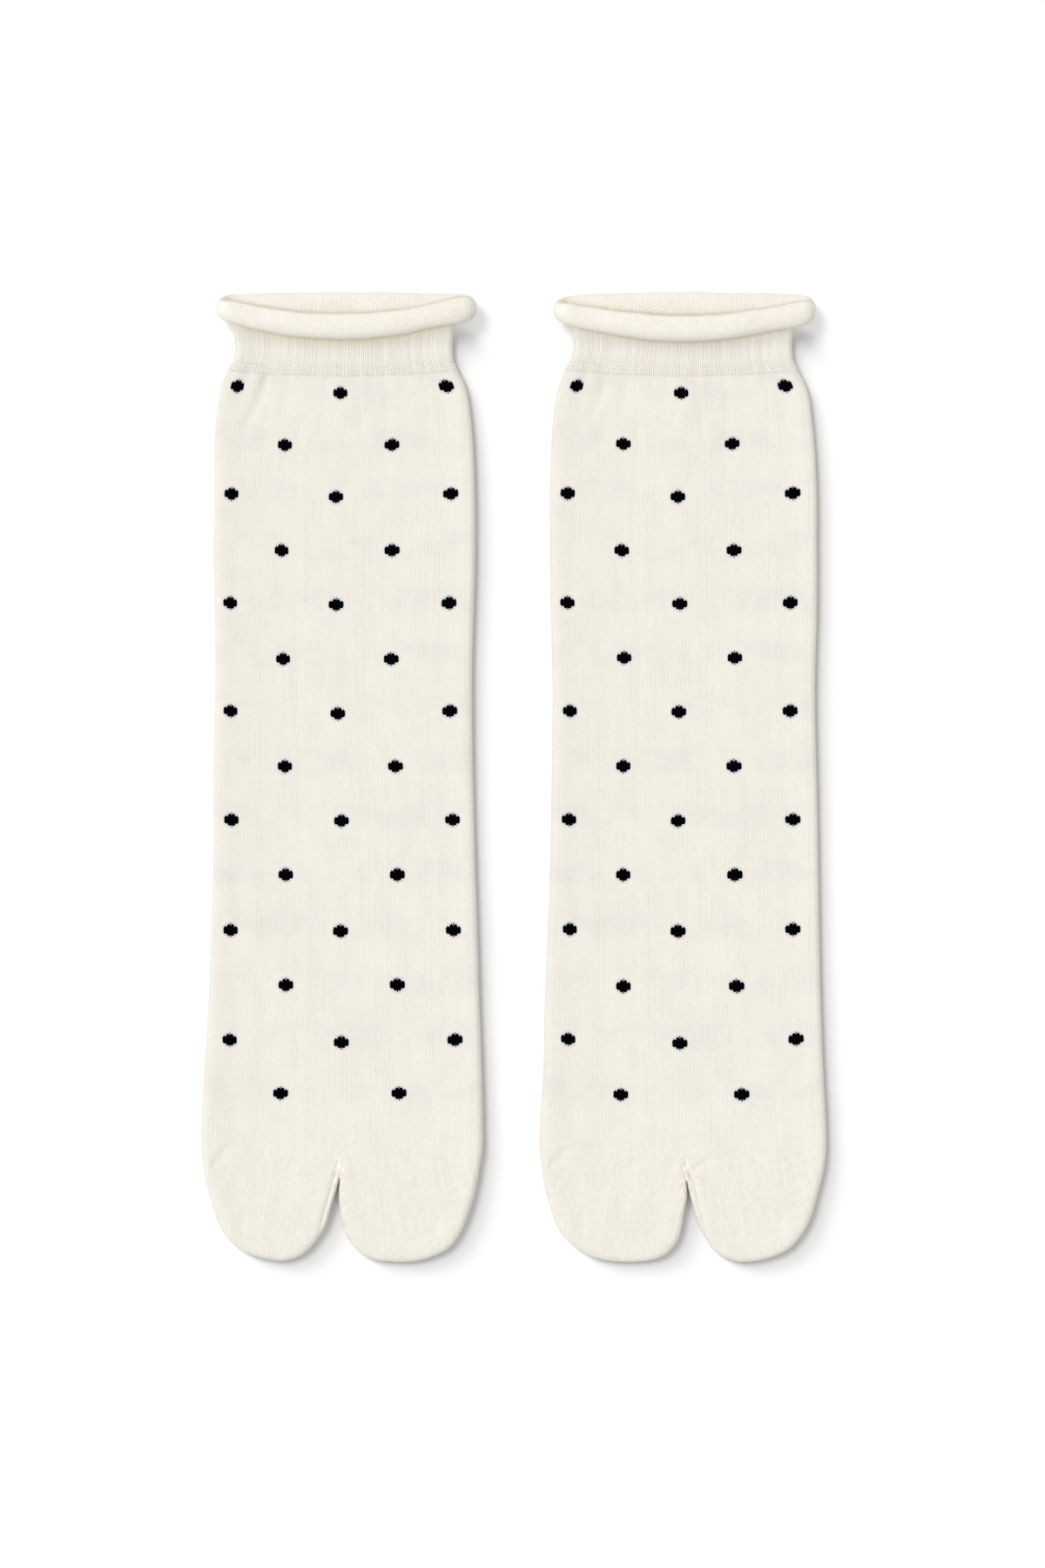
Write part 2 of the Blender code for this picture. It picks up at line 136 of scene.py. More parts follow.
rightSock = {
    "name": "right_sock",
    "middle": 57.45,
    "leftPocket": "big_toe",
    "rightPocket": "small_toes",
    "apex": (1.2, 301.4),
    "roll": {
        "middle": 0.3,
        "halfRun": 39.1,
        "low": 12.7,
        "drop": 5.7,
        "lowAt": -0.2,
        "leftDip": 0.7,
        "rightDip": 0.7,
        "rightFuller": 1.1,
        "phase": 2.3,
    },
    "dots": (
        (34.2, 2.5, (-36.5, -0.5, 35.5)),
        (51.8, 1.8, (-20.3, 16.6)),
        (69.3, 1.2, (-39.1, -1.7, 37.3)),
        (87.7, 0.8, (-20.9, 17.2)),
        (105.6, 0.4, (-39.1, -1.1, 36.4)),
        (124.0, 0.4, (-20.0, 17.5)),
        (142.2, 0.3, (-38.3, -1.4, 36.4)),
        (160.7, 0.4, (-20.3, 17.2)),
        (179.1, 0.4, (-38.6, -1.7, 37.3)),
        (197.5, 0.5, (-20.3, 17.5)),
        (216.5, 0.6, (-38.3, -1.7, 37.3)),
        (235.4, 1.0, (-20.3, 18.1)),
        (254.6, 1.5, (-38.9, -1.1, 38.4)),
        (272.2, 1.5, (-21.2, 19.9)),
    ),
    "creases": (
        ((-26.6, 32.0), (-28.8, 36.5), (-31.2, 41.5), 0.58, 1.2),
        ((-23.4, 31.0), (-24.2, 36.0), (-25.8, 42.0), 0.12, 1.3),
        ((-39.7, 290.4), (-41.8, 292.6), (-44.9, 296.2), 0.72, 0.9),
        ((38.3, 292.0), (40.6, 293.0), (43.6, 295.4), 0.66, 0.75),
        ((2.7, 297.6), (4.8, 296.5), (7.6, 294.8), 0.62, 0.95),
        ((9.0, 294.4), (19.5, 291.2), (28.0, 292.0), 0.20, 1.1),
        ((0.6, 295.6), (3.4, 301.4), (6.6, 314.0), 0.70, 0.55),
        ((-0.6, 295.2), (0.3, 298.0), (1.1, 301.2), 0.45, 0.40),
    ),
    "backCreases": (
        ((-22.0, 30.0), (-25.0, 37.0), (-31.0, 44.0), 0.32, 1.7),
        ((4.0, 118.0), (15.0, 121.0), (24.0, 119.0), 0.24, 2.5),
        ((-36.5, 289.5), (-39.0, 292.5), (-43.0, 297.0), 0.33, 1.4),
        ((18.0, 204.0), (14.0, 214.0), (15.0, 226.0), 0.22, 2.3),
    ),
}

# Short soft gathers where the welt draws the leg in: (share of the way across, length, depth).
gathers = (
    (0.09, 17.0, 0.26), (0.17, 11.0, 0.20), (0.27, 20.0, 0.24), (0.36, 9.0, 0.17),
    (0.43, 15.0, 0.22), (0.56, 21.0, 0.34), (0.62, 12.0, 0.24), (0.68, 18.0, 0.26),
    (0.77, 10.0, 0.18), (0.84, 16.0, 0.28), (0.92, 12.0, 0.20),
)
gatherSpread = 1.0

# Soft rises and hollows of the lying cloth: (across waves, station waves, phase, height), the
# waves in radians for each millimetre.
undulations = (
    (0.11, 0.031, 0.6, 0.07), (-0.07, 0.052, 2.1, 0.06), (0.19, -0.023, 4.0, 0.04),
    (0.05, 0.093, 1.3, 0.05), (-0.15, 0.067, 5.2, 0.03),
)


# Curves and distances.
def smoothThrough(places, values, at):
    # A cubic through every value, which takes its slopes from the neighbours.
    places, values, at = (np.asarray(numbers, float) for numbers in (places, values, at))
    slopes = np.gradient(values, places)
    left = np.clip(np.searchsorted(places, at, side="right") - 1, 0, len(places) - 2)
    step = places[left + 1] - places[left]
    t = (at - places[left]) / step
    t = np.clip(t, 0, 1)
    start = (1 + 2 * t) * (1 - t) ** 2 * values[left] + t * (1 - t) ** 2 * step * slopes[left]
    end = t * t * (3 - 2 * t) * values[left + 1] + t * t * (t - 1) * step * slopes[left + 1]
    return start + end


def smoothStep(share):
    share = np.clip(share, 0, 1)
    return share * share * (3 - 2 * share)


def smoothLine(points, step):
    points = np.asarray(points, float)
    run = np.concatenate([[0], np.cumsum(np.hypot(*np.diff(points, axis=0).T))])
    at = np.linspace(0, run[-1], int(run[-1] / step) + 2)
    return np.stack([smoothThrough(run, points[:, axis], at) for axis in (0, 1)], 1)


def distanceTo(line, across, station):
    # From each place to a line of (across, station) points.
    line = np.asarray(line, float)
    places = np.stack([np.ravel(across), np.ravel(station)], 1)
    run = np.diff(line, axis=0)
    lengths = (run**2).sum(1)
    nearest = np.empty(len(places))
    for first in range(0, len(places), 400):
        away = places[first:first + 400, None] - line[:-1]
        share = np.clip((away * run).sum(2) / lengths, 0, 1)
        off = away - share[..., None] * run
        nearest[first:first + 400] = np.sqrt((off**2).sum(2).min(1))
    return nearest.reshape(np.shape(across))


def rowsOf(node, sock):
    # (station, left edge, right edge) at each row of a CAD node's own outline.
    mesh = frame["nodes"][node].data
    points = np.array([vertex.co for vertex in mesh.vertices]) / mm
    across = points[:, 0] - sock["middle"]
    station = mouthBack - points[:, 1]
    ends = np.array([edge.vertices for edge in mesh.edges])
    near, far = station[ends[:, 0]], station[ends[:, 1]]
    rows = []
    for level in np.unique(np.round(station, 2)):
        here = across[abs(station - level) < 0.02]
        crossed = (near - level) * (far - level) < 0
        share = ((level - near) / np.where(crossed, far - near, 1))[crossed]
        start, end = across[ends[crossed, 0]], across[ends[crossed, 1]]
        places = np.append(start + share * (end - start), here)
        if here.min() > places.min() + 0.05 or here.max() < places.max() - 0.05:
            continue
        found = (level, places.min(), places.max())
        if rows and level - rows[-1][0] < 0.3:
            found = max(found, rows.pop(), key=lambda row: row[2] - row[1])
        rows.append(found)
    return np.array(rows)


def rounding(inward):
    share = np.clip(np.asarray(inward) / cloth["foldReach"], 0, 1)
    return np.sqrt(1 - (1 - share) ** 2)


def heightAt(station):
    return np.interp(station, cloth["heightStations"], cloth["heights"])


# The welt climbs over the back of the rolled edge.
climb = {"start": 18.5, "end": 9.0, "rise": 2.9, "power": 1.3}


def liftAt(station):
    share = (climb["start"] - station) / (climb["start"] - climb["end"])
    return climb["rise"] * np.clip(share, 0, None) ** climb["power"]


def seamAt(across):
    # The line between the welt and the leg, which bows down in the middle.
    return 28.6 - 1.9 * (np.asarray(across) / 40) ** 2


def undulation(sock, across, station):
    shift = sock["middle"]
    total = 0
    for acrossWaves, stationWaves, phase, height in undulations:
        total = total + height * np.sin(acrossWaves * (across + shift) + stationWaves * station + phase)
    return total


def creaseDepth(creases, across, station):
    depth = np.zeros(np.shape(across))
    for start, middle, end, deep, spread in creases:
        line = smoothLine([start, middle, end], 1.0)
        depth += deep * np.exp(-((distanceTo(line, across, station) / spread) ** 2))
    return depth


def gatherDepth(across, station, left, right):
    depth = np.zeros(np.shape(across))
    for share, length, deep in gathers:
        down = station - seamAt(across)
        line = left + (right - left) * share
        fade = np.exp(-((down / length) ** 2))
        width = gatherSpread * (1 + 0.5 * np.clip(down / length, 0, 2))
        depth += deep * fade * np.exp(-(((across - line) / width) ** 2))
    return depth


# Knit maps: wales run from about -36 to 36 over a front, and on round the back; courses count
# from the first row of dots.
dotWales = {3: (-29, 0, 29), 2: (-14, 15)}


def waleColumns(sock, stations):
    # Where the wales that carry dots lie across, at each station.
    wales, places = [], []
    for count in (3, 2):
        rows = [row for row in sock["dots"] if len(row[2]) == count]
        for column, wale in enumerate(dotWales[count]):
            at = np.clip(stations, rows[0][0], rows[-1][0])
            wales.append(wale)
            places.append(smoothThrough([row[0] for row in rows], [row[2][column] for row in rows], at))
    order = np.argsort(wales)
    return np.array(wales)[order], np.array(places)[order].T


def knitMap(sock, across, station, left, right):
    # (wale, course) of every place on a front panel.
    level = station.mean(1)
    wales, columns = waleColumns(sock, level)
    every = np.arange(-42.0, 43.0)
    wale = np.empty(across.shape)
    reach = cloth["foldReach"]
    for row, knots in enumerate(columns):
        low, high = left[row, 0], right[row, 0]
        # Above the first dots and below the last, the wales keep their share of the width.
        reference = np.clip(level[row], sock["dots"][0][0], sock["dots"][-1][0])
        start, end = np.interp(reference, *sock["leftEdge"]), np.interp(reference, *sock["rightEdge"])
        knots = low + (knots - start) * (high - low) / (end - start)
        places = smoothThrough(wales, knots, np.clip(every, wales[0], wales[-1]))
        pitch = (knots[-1] - knots[0]) / (wales[-1] - wales[0])
        places = places + pitch * (every - np.clip(every, wales[0], wales[-1]))
        # A fold turns away from the eye, so its wales lie closer.
        turned = np.clip(1 - np.minimum(across[row] - low, high - across[row]) / reach, 0, 1)
        extra = reach * (np.arcsin(turned) - turned) * np.sign(across[row] - (low + high) / 2)
        wale[row] = np.interp(across[row] + extra, places, every)
    lines = np.array([row[0] for row in sock["dots"]])
    rises = np.array([row[1] for row in sock["dots"]])
    counts = np.arange(len(lines)) * cloth["rowCourses"]
    course = np.empty(across.shape)
    for index in np.ndindex(across.shape):
        line = lines - rises * (wale[index] / 29) ** 2
        place = station[index]
        beyond = min(0, place - line[0]) + max(0, place - line[-1])
        course[index] = np.interp(place, line, counts) + beyond / cloth["courseStep"]
    return wale, course


def backWales(wale, side):
    # The back panel's wales, from the fold on that side to the middle of the back.
    fold = wale[:, :1] if side < 0 else wale[:, -1:]
    middle = wale[:, -1:] if side < 0 else wale[:, :1]
    far = side * 2 * cloth["foldWale"]
    return fold + (wale - fold) * (far - fold) / (middle - fold)


# Meshes.
# Grids of points with their knit maps, which become one welded mesh.
class Patchwork:
    def __init__(self):
        self.points, self.faces, self.maps = [], [], []

    def add(self, across, station, height, wale, course, sock, faceUp):
        rows, columns = across.shape
        first = len(self.points)
        places = np.stack([sock["middle"] + across, mouthBack - station, height], 2)
        self.points.extend(places.reshape(-1, 3))
        counts = np.stack([wale, course], 2).reshape(-1, 2)
        for row in range(rows - 1):
            for column in range(columns - 1):
                corner = row * columns + column
                corners = [corner, corner + columns, corner + columns + 1, corner + 1]
                if not faceUp:
                    corners.reverse()
                found = counts[corners]
                # The back's map is cut three wales to one side of its middle, clear of any dot.
                if found[:, 0].mean() > 66:
                    found = found - (144, 0)
                self.faces.append([first + index for index in corners])
                self.maps.append(found)

    def build(self, name, wall):
        mesh = bpy.data.meshes.new(name)
        mesh.from_pydata([tuple(point) for point in np.array(self.points) * mm], [], self.faces)
        layer = mesh.uv_layers.new(name="knit")
        layer.uv.foreach_set("vector", np.concatenate(self.maps).ravel())
        shape = bmesh.new()
        shape.from_mesh(mesh)
        bmesh.ops.remove_doubles(shape, verts=shape.verts, dist=1e-6)
        for edge in shape.edges:
            edge.smooth = not edge.is_boundary
        shape.to_mesh(mesh)
        shape.free()
        mesh.polygons.foreach_set("use_smooth", [True] * len(mesh.polygons))
        obj = bpy.data.objects.new(name, mesh)
        bpy.context.scene.collection.objects.link(obj)
        solid = obj.modifiers.new("Wall", "SOLIDIFY")
        solid.thickness = wall * mm
        solid.offset = -1
        solid.use_quality_normals = True
        return obj


nearFold = (0.0, 0.1, 0.25, 0.45, 0.7, 1.0, 1.35, 1.75, 2.2, 2.8, 3.6, 4.6)


def spread(length, step, startClose=True, endClose=True):
    # Shares from 0 to 1, close together at one or both ends.
    start = list(nearFold) if startClose else [0.0]
    end = [length - inset for inset in reversed(nearFold)] if endClose else [length]
    count = max(2, round((end[0] - start[-1]) / step))
    between = [start[-1] + (end[0] - start[-1]) * index / count for index in range(1, count)]
    return np.array(start + between + end) / length


def bodyOutline(sock):
    # The two long edges, and each pocket's line from its left side round its tip.
    name = sock["name"]
    leg = rowsOf(name + "_leg_and_foot", sock)
    welt = rowsOf(name + "_welt", sock)
    welt = welt[(welt[:, 0] > 19) & (welt[:, 0] < 28.4)]
    leftRows = rowsOf(f"{name}_{sock['leftPocket']}", sock)
    rightRows = rowsOf(f"{name}_{sock['rightPocket']}", sock)
    apex = np.array(sock["apex"])
    below = leftRows[:, 0] > apex[1] + 2
    side = leftRows[leftRows[:, 0] > 292]
    leftEdge = np.concatenate([welt[:, [1, 0]], leg[:, [1, 0]], side[:, [1, 0]]])
    cleft = leftRows[below][::-1]
    leftLine = np.concatenate([leftEdge, cleft[:, [2, 0]], apex[None]])
    side = rightRows[rightRows[:, 0] > 292][::-1]
    rightEdge = np.concatenate([side[:, [2, 0]], leg[::-1][:, [2, 0]], welt[::-1][:, [2, 0]]])
    cleft = rightRows[rightRows[:, 0] > apex[1] + 2]
    rightLine = np.concatenate([apex[None], cleft[:, [1, 0]], rightEdge])
    return smoothLine(leftLine, 0.3), smoothLine(rightLine, 0.3)


def pocketGrid(line, top, columns, rowStep):
    # A grid of places inside a pocket: its sides, its seam row above and the round of its tip.
    turn = np.diff(line, axis=0)
    onTip = np.flatnonzero(abs(turn[:, 0]) > abs(turn[:, 1]))
    first, last = onTip[0], onTip[-1] + 1
    sides = [line[:first + 1], line[first:last + 1], line[last:][::-1]]
    length = min(np.hypot(*np.diff(side, axis=0).T).sum() for side in (sides[0], sides[2]))
    rows = spread(length, rowStep, startClose=False)

    def along(side, shares):
        run = np.concatenate([[0], np.cumsum(np.hypot(*np.diff(side, axis=0).T))])
        at = shares * run[-1]
        return np.stack([np.interp(at, run, side[:, axis]) for axis in (0, 1)], 1)

    left, right = along(sides[0], rows), along(sides[2], rows)
    bottom = along(sides[1], columns)
    a, b = columns[None, :, None], rows[:, None, None]
    grid = (1 - b) * top[None] + b * bottom[None] + (1 - a) * left[:, None] + a * right[:, None]
    grid -= (1 - a) * (1 - b) * top[0] + a * (1 - b) * top[-1] + (1 - a) * b * bottom[0] + a * b * bottom[-1]
    return grid[..., 0], grid[..., 1]


bodyShape = {
    "columnStep": 1.5,
    "rowStep": 1.8,
    "pocketStep": 1.6,
    "toeRows": (286.4, 300.1, 0.6),    # from, to and step of closer rows for the creases there
    "bowFade": 25.0,       # the seam's bow is gone this far below it
    "slant": 0.42,         # how far the pockets' wales lean, near their seam
    "slantTurn": 1.5,
    "slantLength": 17.0,
    "slantFrom": 292.0,
    "cleftReach": 7.0,     # the edges are tighter this near the cleft's top
    "cleftTight": 1.6,
}


def leaning(sock, across, station):
    # How far the wales of both pockets lean away from the cleft.
    length = bodyShape["slantLength"]
    down = np.clip(station - bodyShape["slantFrom"], 0, None)
    side = np.tanh((across - sock["apex"][0]) / bodyShape["slantTurn"])
    return side * bodyShape["slant"] * length * (1 - np.exp(-down / length))


def bodyHeights(sock, across, station, inward, left, right):
    total = heightAt(station)
    fromCleft = np.hypot(across - sock["apex"][0], station - sock["apex"][1])
    tighter = bodyShape["cleftTight"] * np.exp(-fromCleft / bodyShape["cleftReach"])
    turned = rounding(inward * (1 + tighter))
    full = cloth["fullness"] * np.exp(-(((inward - cloth["fullnessAt"]) / cloth["fullnessSpread"]) ** 2))
    rise = full - creaseDepth(sock["creases"], across, station)
    rise = rise - gatherDepth(across, station, left, right) + undulation(sock, across, station)
    front = total / 2 + (total / 2 + rise) * turned
    back = total / 2 - total / 2 * turned
    back = back + creaseDepth(sock["backCreases"], across, station) * turned
    return front, back


def buildBody(sock):
    leftLine, rightLine = bodyOutline(sock)
    apex = sock["apex"]
    leftEnd = np.argmax(leftLine[:, 1])
    rightEnd = np.argmax(rightLine[:, 1])
    leftEdge = leftLine[:leftEnd, ::-1].T
    rightEdge = rightLine[rightEnd:][::-1, ::-1].T
    sock["leftEdge"], sock["rightEdge"] = leftEdge, rightEdge
    outline = np.concatenate([leftLine, rightLine[1:]])
    half = spread(48.0, bodyShape["columnStep"])
    patches = Patchwork()

    # The leg and foot, from the welt's seam to the row through the cleft's top.
    top = float(seamAt(0))
    stations = top + spread(apex[1] - top, bodyShape["rowStep"], startClose=False) * (apex[1] - top)
    toeRows = np.arange(*bodyShape["toeRows"])
    before, after = stations[stations < toeRows[0] - 0.3], stations[stations > toeRows[-1] + 0.3]
    stations = np.concatenate([before, toeRows, after])
    across = []
    for station in stations:
        atSide = station - (top - seamAt(40)) * np.clip(1 - (station - top) / bodyShape["bowFade"], 0, 1)
        low, high = np.interp(atSide, *leftEdge), np.interp(atSide, *rightEdge)
        middle = (low + high) / 2 + (apex[0] - (low + high) / 2) * (station / apex[1]) ** 2
        across.append(np.concatenate([low + (middle - low) * half, middle + (high - middle) * half[1:]]))
    across = np.array(across)
    bow = (top - seamAt(across)) * np.clip(1 - (stations[:, None] - top) / bodyShape["bowFade"], 0, 1)
    station = stations[:, None] - bow
    left, right = across[:, :1], across[:, -1:]
    inward = distanceTo(outline, across, station)
    inward[:, 0] = inward[:, -1] = 0
    front, back = bodyHeights(sock, across, station, inward, left, right)
    wale, course = knitMap(sock, across - leaning(sock, across, station), station, left, right)
    patches.add(across, station, front, wale, course, sock, True)
    middle = len(half) - 1
    legHalves = (slice(0, middle + 1), slice(middle, None))
    for side, part in zip((-1, 1), legHalves):
        around = backWales(wale[:, part], side)
        patches.add(across[:, part], station[:, part], back[:, part], around, course[:, part], sock, False)

    # The two toe pockets.
    lines = (leftLine[leftLine[:, 1] > apex[1] - 0.01], rightLine[rightLine[:, 1] > apex[1] - 0.01])
    for side, part, line in zip((-1, 1), legHalves, lines):
        seam = np.stack([across[-1, part], station[-1, part]], 1)
        line = np.concatenate([seam[:1], line[1:-1], seam[-1:]])
        x, down = pocketGrid(line, seam, half, bodyShape["pocketStep"])
        near = distanceTo(outline, x, down)
        near[:, 0] = near[:, -1] = near[-1] = 0
        near[0] = inward[-1, part]
        top, under = bodyHeights(sock, x, down, near, -47, 47)
        wide = np.full((len(x), 1), 1.0)
        edges = (across[-1, 0] * wide, across[-1, -1] * wide)
        wales, courses = knitMap(sock, x - leaning(sock, x, down), down, *edges)
        patches.add(x, down, top, wales, courses, sock, True)
        patches.add(x, down, under, backWales(wales, side), courses, sock, False)

    obj = patches.build(sock["name"] + "_knitted_body", cloth["wall"])
    print(sock["name"], "body:", len(obj.data.polygons), "faces")
    return obj, leftEdge, rightEdge


# The welt: a snug band of tuck stitches between the rolled edge and the leg.
welt = {
    "gap": 0.02,            # between its lower rim and the leg's
    "waist": 19.2,          # station of its narrowest row
    "flare": 1.4,
    "underRoll": 3.7,
    "crest": 1.1,           # the front rises this much more as it meets the roll
    "crestAt": 3.85,
    "crestFade": 3.2,
    "lowerRows": 9,
    "upperRows": 14,
    "courseStep": 1.0,
}


def frontRollStation(sock, across):
    roll = sock["roll"]
    return roll["low"] - roll["drop"] * ((across - roll["lowAt"]) / roll["halfRun"]) ** 2


def buildWelt(sock, leftEdge, rightEdge):
    patches = Patchwork()
    columns = spread(75.0, 1.5)
    lower = np.linspace(0, 1, welt["lowerRows"] + 1)
    upper = np.linspace(0, 1, welt["upperRows"] + 1)[1:]
    rows = [(share, 0.0) for share in lower] + [(1.0, share) for share in upper]
    fronts, backs, acrosses, inwards = [], [], [], []
    for lowerShare, upperShare in rows:
        nominal = seamAt(38) - welt["gap"]
        nominal = nominal + (welt["waist"] - nominal) * lowerShare
        low = np.interp(nominal, *leftEdge) - welt["flare"] * upperShare**2
        high = np.interp(nominal, *rightEdge) + welt["flare"] * upperShare**2
        across = low + (high - low) * columns
        inward = np.minimum(across - low, high - across)
        start = seamAt(across) - welt["gap"]
        start = start + (welt["waist"] - start) * lowerShare
        end = np.maximum(climb["end"], frontRollStation(sock, across) + welt["underRoll"])
        end = climb["end"] + (end - climb["end"]) * rounding(inward / 3)
        fronts.append(start + (end - start) * upperShare)
        backs.append(start + (climb["end"] - start) * upperShare)
        acrosses.append(across)
        inwards.append(inward)
    across, inward = np.array(acrosses), np.array(inwards)
    front, back = np.array(fronts), np.array(backs)
    turned = rounding(inward)
    full = cloth["fullness"] * np.exp(-(((inward - cloth["fullnessAt"]) / cloth["fullnessSpread"]) ** 2))
    height = heightAt(front)
    left, right = across[:, :1], across[:, -1:]
    # The gathers of the leg start at the seam and fade up the welt.
    fade = 0.12 + 0.88 * np.exp((front - seamAt(across)) / 1.8)
    rise = full - fade * gatherDepth(across, front, left, right) + undulation(sock, across, front)
    rise = rise - creaseDepth(sock["creases"], across, front)
    below = front - frontRollStation(sock, across) - welt["crestAt"]
    rise = rise + welt["crest"] * np.exp(-((np.clip(below, 0, None) / welt["crestFade"]) ** 2))
    top = liftAt(front) + height / 2 + (height / 2 + rise) * turned
    height = heightAt(back)
    under = liftAt(back) + height / 2 - height / 2 * turned
    # Only the outer wales follow the flare towards the roll.
    share = 2 * (across - left) / (right - left) - 1
    flared = welt["flare"] * np.array([[upperShare**2] for _, upperShare in rows]) / 37.5
    wale = cloth["foldWale"] * share * (1 + flared - flared * share**4)
    course = (seamAt(across) - front) / welt["courseStep"]
    patches.add(across[::-1], front[::-1], top[::-1], wale[::-1], course[::-1], sock, True)
    course = (seamAt(across) - back) / welt["courseStep"]
    middle = across.shape[1] // 2
    for side, part in ((-1, slice(0, middle + 1)), (1, slice(middle, None))):
        backWale = side * 2 * cloth["foldWale"] - wale[:, part]
        grids = (across[:, part], back[:, part], under[:, part], backWale, course[:, part])
        patches.add(*[grid[::-1] for grid in grids], sock, False)
    obj = patches.build(sock["name"] + "_knitted_welt", cloth["wall"])
    print(sock["name"], "welt:", len(obj.data.polygons), "faces")
    return obj


# The rolled edge: the cloth curls outwards on itself, all round the mouth.
rollShape = {
    "width": 8.9,
    "endWidth": 7.6,
    "endNarrows": 1.2,      # the turn at either end of the mouth is this much narrower
    "backWidth": 10.0,
    "frontHeight": 6.2,
    "backHeight": 5.0,
    "endHeight": 5.4,
    "backStation": 4.3,
    "frontRise": 7.4,
    "endRise": 8.5,
    "taper": 1.6,
    "lean": 1.1,
    "fullness": 0.93,       # under 1 makes the section fuller than an ellipse
    "runSteps": 92,
    "turnSteps": 26,
    "sections": 340,
    "easing": 12,
    "spiralSteps": 58,
    "courseRadius": 3.4,
    "wall": 1.1,
    "layerGap": 0.12,
    "frontStart": -75.0,    # where the cloth leaves the welt, round the roll's section
    "backStart": -30.0,
    "spiralEnd": -600.0,
    "fullTurn": 295.0,      # how far it runs before it tucks inside itself
    "tuck": 60.0,
}


def rollPath(sock):
    # (x, y, z, width, height, how far on to the front) of every section of the roll.
    shape, roll = rollShape, sock["roll"]
    run = 1 - 2 * np.arange(shape["runSteps"]) / shape["runSteps"]
    turn = math.pi * np.arange(shape["turnSteps"]) / shape["turnSteps"]
    radius = (shape["endRise"] - shape["endHeight"] / 2) / 2
    parts = []
    for side in (1, -1):
        taper = abs(run) ** shape["taper"]
        across = roll["middle"] + side * roll["halfRun"] * run
        width = shape["backWidth"] + (shape["endWidth"] - shape["backWidth"]) * taper
        thick = shape["backHeight"] + (shape["endHeight"] - shape["backHeight"]) * taper
        station = shape["backStation"] + (shape["backWidth"] - shape["width"]) / 2 * (1 - taper)
        height = thick / 2
        if side > 0:
            width = shape["width"] + (shape["endWidth"] - shape["width"]) * taper
            station = frontRollStation(sock, across)
            frontThick = shape["frontHeight"] + (shape["endHeight"] - shape["frontHeight"]) * taper
            beside = (station - shape["backStation"]) / width
            above = np.sqrt(np.clip(shape["lean"] ** 2 - beside**2, 0, None))
            height = np.maximum(shape["frontRise"], thick / 2 + above * (frontThick + thick) / 2)
            thick = frontThick
        parts.append(np.stack([across, station, height, width, thick, 0 * run + (side > 0)], 1))
        end = roll["middle"] - side * roll["halfRun"]
        share = (1 - np.cos(turn)) / 2
        if side < 0:
            share = 1 - share
        across = end - side * radius * np.sin(turn)
        station = frontRollStation(sock, end)
        station = station + (shape["backStation"] - station) * share
        height = shape["endRise"] + (shape["endHeight"] / 2 - shape["endRise"]) * share
        width = shape["endWidth"] - shape["endNarrows"] * np.sin(turn)
        thick = np.full(share.shape, shape["endHeight"])
        parts.append(np.stack([across, station, height, width, thick, 1 - share], 1))
    path = np.concatenate(parts)
    toEnd = (path[:, 0] - roll["middle"]) / roll["halfRun"]
    toLeft, toRight = (smoothStep((end - 0.66) / 0.36) for end in (-toEnd, toEnd))
    path[:, 1] += roll["leftDip"] * toLeft + roll["rightDip"] * toRight
    path[:, 3] += roll["rightFuller"] * toRight
    return evenPath(path)


def evenPath(path):
    # The same closed path in even steps, with its corners eased.
    closed = np.concatenate([path, path[:1]])
    run = np.concatenate([[0], np.cumsum(np.linalg.norm(np.diff(closed[:, :3], axis=0), axis=1))])
    at = np.linspace(0, run[-1], rollShape["sections"] + 1)[:-1]
    path = np.stack([np.interp(at, run, column) for column in closed.T], 1)
    for _ in range(rollShape["easing"]):
        path = path / 2 + (np.roll(path, 1, 0) + np.roll(path, -1, 0)) / 4
    return path


def unevenness(count, phase):
    # Slow uneven swells round the mouth, which meet where they began.
    turn = 2 * math.pi * np.arange(count) / count
    waves = ((5, 0.3, 1.7), (9, 0.24, 0.4), (14, 0.2, 2.6), (23, 0.16, 4.4), (37, 0.1, 1.1))
    return sum(size * np.sin(number * turn + start + phase) for number, size, start in waves)


def fuller(wave, power):
    # The roll's section is a little fuller than an ellipse, but round at the mouth's ends.
    return np.sign(wave) * abs(wave) ** power[:, None]


